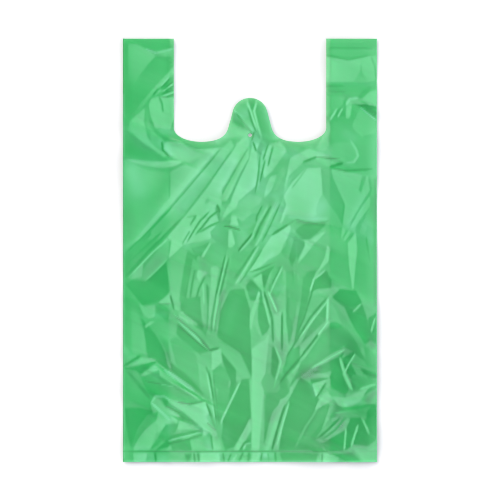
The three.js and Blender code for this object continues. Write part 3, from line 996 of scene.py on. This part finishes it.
def tube_stations():
    """Places around the tube: x, level in pitches above the back panel, and whether the die cuts there."""
    near_side = SIDE - PITCH_AT_FOLD
    near_fold = INNER_FOLD + PITCH_AT_FOLD
    front_x = np.linspace(-near_side, near_side, round(WIDTH / FRONT_STEP) + 1)
    leaf_x = near_fold + (near_side - near_fold) * np.linspace(1, 0, LEAF_STEPS + 1) ** 2
    middle_x = np.linspace(near_fold, -near_fold, BACK_STEPS + 1)[1:-1]
    back_x = np.concatenate([leaf_x, middle_x, -leaf_x[::-1]])
    stations = [(x, FRONT_LEVEL, True) for x in front_x]
    stations += gusset_stations(1, leaf_x, GUSSET_LEVELS)
    stations += [(x, 0.0, True) for x in back_x]
    stations += gusset_stations(-1, leaf_x, GUSSET_LEVELS[::-1])
    return stations


def layer_pitch(x, y):
    """Distance between the layers, closing up towards the side folds, the foot weld and the strap tops."""
    from_side = 1 - np.clip(1 - (SIDE - np.abs(x)) / FOLD_EASE, 0, 1) ** 2
    from_weld = ease(np.abs(y + TOP - SKIRT) / WELD_EASE)
    from_top = ease((TOP - y) / WELD_EASE)
    return PITCH_AT_FOLD + (PITCH - PITCH_AT_FOLD) * from_side * from_weld * from_top


def snap_to_die(x, y, cut, outline):
    """How far each vertex lies inside the film, after those near the die's edge are moved onto it."""
    depth = np.full(x.shape, SIDE)
    near_mouth = cut & (np.abs(x) < STRAP_EDGE + FRONT_STEP) & (y > TOP - MOUTH_DEPTH - HOLE_DEPTH)
    depth[near_mouth] = film_distance(x[near_mouth], y[near_mouth], outline)
    snap = near_mouth & (np.abs(depth) < SNAP * FRONT_STEP)
    slope_x = (film_distance(x[snap] + NUDGE, y[snap], outline) - depth[snap]) / NUDGE
    slope_y = (film_distance(x[snap], y[snap] + NUDGE, outline) - depth[snap]) / NUDGE
    x[snap] -= depth[snap] * slope_x
    y[snap] -= depth[snap] * slope_y
    depth[snap] = 0
    return depth


def film_heights(canvas, x, y, level):
    """Height of each vertex: its layer's place in the stack and the relief, flatter at sides and hole."""
    front, under = canvas.relief()
    drop = UNDER_DROP * ease((SIDE - np.abs(x)) / FOLD_EASE)
    relief = np.where(level == FRONT_LEVEL, canvas.sample(front, x, y), canvas.sample(under, x, y) - drop)
    relief -= np.percentile(relief, LIFT_PERCENT)
    relief *= EDGE_HEIGHT + (1 - EDGE_HEIGHT) * ease((SIDE - np.abs(x)) / ROLL)
    from_hole = np.hypot(x, y - (TOP - HOLE_DEPTH))
    relief *= 1 - PUNCH_PRESS * np.exp(-((from_hole / PUNCH_REACH) ** 2))
    stacked = level * layer_pitch(x, y)
    return np.maximum(stacked + relief, LEAST_AIR * stacked)


def cut_cells(cells, depth, places, outline):
    """Faces of the cells that the die's edge crosses, and the places with the new ones on that edge."""
    edges = np.concatenate([cells[:, [i, (i + 1) % 4]] for i in range(4)])
    edges = np.unique(np.sort(edges[depth[edges[:, 0]] * depth[edges[:, 1]] < 0], axis=1), axis=0)
    first_is_film = depth[edges[:, 0]] > 0
    kept = places[np.where(first_is_film, edges[:, 0], edges[:, 1])]
    lost = places[np.where(first_is_film, edges[:, 1], edges[:, 0])]
    for _ in range(CUT_PASSES):
        middle = (kept + lost) / 2
        on_film = film_distance(middle[:, 0], middle[:, 1], outline)[:, None] >= 0
        kept = np.where(on_film, middle, kept)
        lost = np.where(on_film, lost, middle)
    crossing = {tuple(edge): len(places) + i for i, edge in enumerate(edges.tolist())}
    faces = []
    for cell in cells.tolist():
        face = []
        for a, b in zip(cell, cell[1:] + cell[:1]):
            if depth[a] >= 0:
                face.append(a)
            edge = (min(a, b), max(a, b))
            if edge in crossing:
                face.append(crossing[edge])
        if len(face) > 2:
            faces.append(face)
    return faces, np.concatenate([places, kept])


def film_faces(rows, around, depth, places, outline):
    """Faces of the tube inside the die's edge, and the places with the new ones on that edge."""
    first = np.arange(rows - 1)[:, None] * around + np.arange(around)[None, :]
    beside = np.roll(first, -1, axis=1)
    cells = np.stack([first, beside, beside + around, first + around], axis=-1).reshape(-1, 4)
    lowest = depth[cells].min(axis=1)
    highest = depth[cells].max(axis=1)
    whole = cells[(lowest >= 0) & (highest > 0)].tolist()
    crossed, places = cut_cells(cells[(lowest < 0) & (highest > 0)], depth, places, outline)
    return whole + crossed, places


def film_mesh():
    """Vertices of the film in metres, its faces, and each vertex's painted light and shade from -1 to 1."""
    station_x, level, cut = (np.array(values) for values in zip(*tube_stations()))
    row_y = np.linspace(-TOP, TOP, round(LENGTH / ROW_STEP) + 1)
    x, y = np.meshgrid(station_x, row_y)
    outline = die_outline()
    depth = snap_to_die(x, y, cut, outline).ravel()
    canvas = traced_canvas()
    z = film_heights(canvas, x, y, level)
    # Painted light and shade on the front only, as a share of the full amount
    painted_shading = np.where(level == FRONT_LEVEL, canvas.sample(canvas.painted_shading, x, y) / FULL_PAINTED_SHADING, 0)
    places = np.stack([x, y, z, painted_shading], axis=-1).reshape(-1, 4)
    faces, places = film_faces(len(row_y), len(level), depth, places, outline)
    used = sorted({v for face in faces for v in face})
    new_index = {old: new for new, old in enumerate(used)}
    faces = [[new_index[v] for v in face] for face in faces]
    return (places[used, :3] * MM).tolist(), faces, places[used, 3].tolist()


def map_range(tree, value, low, high, start=0.0, end=1.0):
    """A node that moves a value from between start and end to between low and high."""
    node = tree.nodes.new("ShaderNodeMapRange")
    node.inputs["From Min"].default_value = start
    node.inputs["From Max"].default_value = end
    node.inputs["To Min"].default_value = low
    node.inputs["To Max"].default_value = high
    tree.links.new(value, node.inputs["Value"])
    return node


def film_material():
    """Thin satin film: see-through, with the mesh's painted light and shade and a broad mottle in colour
    and gloss.
    """
    material = bpy.data.materials.new("film")
    material.use_nodes = True
    tree = material.node_tree
    shader = tree.nodes["Principled BSDF"]
    shader.inputs["Alpha"].default_value = FILM_ALPHA
    shader.inputs["IOR"].default_value = FILM_IOR
    shader.inputs["Specular IOR Level"].default_value = FILM_SPECULAR

    place = tree.nodes.new("ShaderNodeTexCoord")
    stretch = tree.nodes.new("ShaderNodeMapping")
    stretch.inputs["Scale"].default_value = MOTTLE_SCALE
    tree.links.new(place.outputs["Object"], stretch.inputs["Vector"])
    mottle = tree.nodes.new("ShaderNodeTexNoise")
    mottle.inputs["Detail"].default_value = MOTTLE_DETAIL
    tree.links.new(stretch.outputs["Vector"], mottle.inputs["Vector"])

    # Painted light and shade from the mesh: negative darkens towards the painted shade colour, positive
    # lightens
    painted_shading = tree.nodes.new("ShaderNodeAttribute")
    painted_shading.attribute_name = "painted_shading"
    share = map_range(tree, painted_shading.outputs["Fac"], 0.0, 1.0, start=-1.0)
    colours = tree.nodes.new("ShaderNodeValToRGB")
    colours.color_ramp.elements[0].color = FILM_PAINTED_SHADE
    colours.color_ramp.elements[1].color = FILM_PAINTED_HIGHLIGHT
    colours.color_ramp.elements.new(0.5).color = FILM_COLOUR
    tree.links.new(share.outputs["Result"], colours.inputs["Fac"])
    shade = map_range(tree, mottle.outputs["Fac"], *MOTTLE_SHADE)
    mottled = tree.nodes.new("ShaderNodeVectorMath")
    mottled.operation = "SCALE"
    tree.links.new(colours.outputs["Color"], mottled.inputs["Vector"])
    tree.links.new(shade.outputs["Result"], mottled.inputs["Scale"])
    tree.links.new(mottled.outputs["Vector"], shader.inputs["Base Color"])

    gloss = map_range(tree, mottle.outputs["Fac"], *MOTTLE_ROUGHNESS)
    tree.links.new(gloss.outputs["Result"], shader.inputs["Roughness"])
    return material


def make_bag():
    """The film, which stands for the bag's one node."""
    vertices, faces, painted_shading_values = film_mesh()
    mesh = bpy.data.meshes.new("bag_film")
    mesh.from_pydata(vertices, [], faces)
    mesh.shade_smooth()
    # The painted light and shade goes onto the mesh, where the film's colour reads it
    mesh.attributes.new("painted_shading", "FLOAT", "POINT").data.foreach_set("value", painted_shading_values)
    mesh.materials.append(film_material())
    bag = bpy.data.objects.new("bag_film", mesh)
    bpy.context.collection.objects.link(bag)
    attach(bag, "root")
    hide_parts(NODE)


def make_floor():
    """A plain white floor under the bag."""
    material = bpy.data.materials.new("floor")
    material.use_nodes = True
    shader = material.node_tree.nodes["Principled BSDF"]
    shader.inputs["Base Color"].default_value = FLOOR_COLOUR
    shader.inputs["Roughness"].default_value = FLOOR_ROUGHNESS
    shader.inputs["Specular IOR Level"].default_value = FLOOR_SPECULAR
    signs = [(-1, -1), (1, -1), (1, 1), (-1, 1)]
    corners = [(across * FLOOR_HALF, along * FLOOR_HALF, FLOOR_LEVEL) for across, along in signs]
    mesh = bpy.data.meshes.new("floor")
    mesh.from_pydata(corners, [], [(0, 1, 2, 3)])
    mesh.materials.append(material)
    floor = bpy.data.objects.new("floor", mesh)
    bpy.context.collection.objects.link(floor)
    return floor


def make_sun(name, azimuth, elevation, strength, softness):
    """A distant soft light from a compass direction, which makes no glints. Angles are in radians."""
    light = bpy.data.lights.new(name, "SUN")
    light.energy = strength
    light.angle = softness
    lamp = bpy.data.objects.new(name, light)
    lamp.rotation_euler = (math.pi / 2 - elevation, 0, azimuth + math.pi / 2)
    lamp.visible_glossy = False
    bpy.context.collection.objects.link(lamp)
    return lamp


def make_dome():
    """A sky that is bright on the key side and dim on the other."""
    world = bpy.data.worlds.new("dome")
    world.use_nodes = True
    tree = world.node_tree
    direction = tree.nodes.new("ShaderNodeTexCoord")
    side = tree.nodes.new("ShaderNodeVectorMath")
    side.operation = "DOT_PRODUCT"
    side.inputs[1].default_value = (math.cos(KEY_AZIMUTH), math.sin(KEY_AZIMUTH), 0)
    tree.links.new(direction.outputs["Generated"], side.inputs[0])
    start = DOME_EDGE - DOME_BLEND
    end = DOME_EDGE + DOME_BLEND
    strength = map_range(tree, side.outputs["Value"], DOME_DIM, DOME_BRIGHT, start, end)
    strength.interpolation_type = "SMOOTHSTEP"
    background = tree.nodes["Background"]
    background.inputs["Color"].default_value = DOME_COLOUR
    tree.links.new(strength.outputs["Result"], background.inputs["Strength"])
    bpy.context.scene.world = world


def make_light(floor):
    """The dome and two suns: one from the top gives the foot its shadow, one fills the floor's shadows."""
    make_dome()
    make_sun("top", *TOP_SUN)
    fill = make_sun("fill", *FILL_SUN)
    lit_by_fill = bpy.data.collections.new("lit_by_fill")
    lit_by_fill.objects.link(floor)
    fill.light_linking.receiver_collection = lit_by_fill


def make_camera():
    """A camera straight above the bag, with the photograph's scale at the film's usual height."""
    frame_width = PHOTO_SIZE * MM_PER_PIXEL * MM
    data = bpy.data.cameras.new("camera")
    data.lens = LENS
    data.sensor_width = SENSOR
    camera = bpy.data.objects.new("camera", data)
    across = (PHOTO_SIZE / 2 - PHOTO_X) * MM_PER_PIXEL * MM
    up = (PHOTO_Y - PHOTO_SIZE / 2) * MM_PER_PIXEL * MM
    camera.location = (across, up, FILM_HEIGHT * MM + frame_width * LENS / SENSOR)
    bpy.context.collection.objects.link(camera)
    bpy.context.scene.camera = camera


make_camera()
make_light(make_floor())
make_bag()
bpy.context.scene.view_settings.view_transform = "Standard"
bpy.context.scene.cycles.transparent_max_bounces = LAYERS_SEEN_THROUGH
bpy.context.scene.cycles.filter_width = PIXEL_FILTER
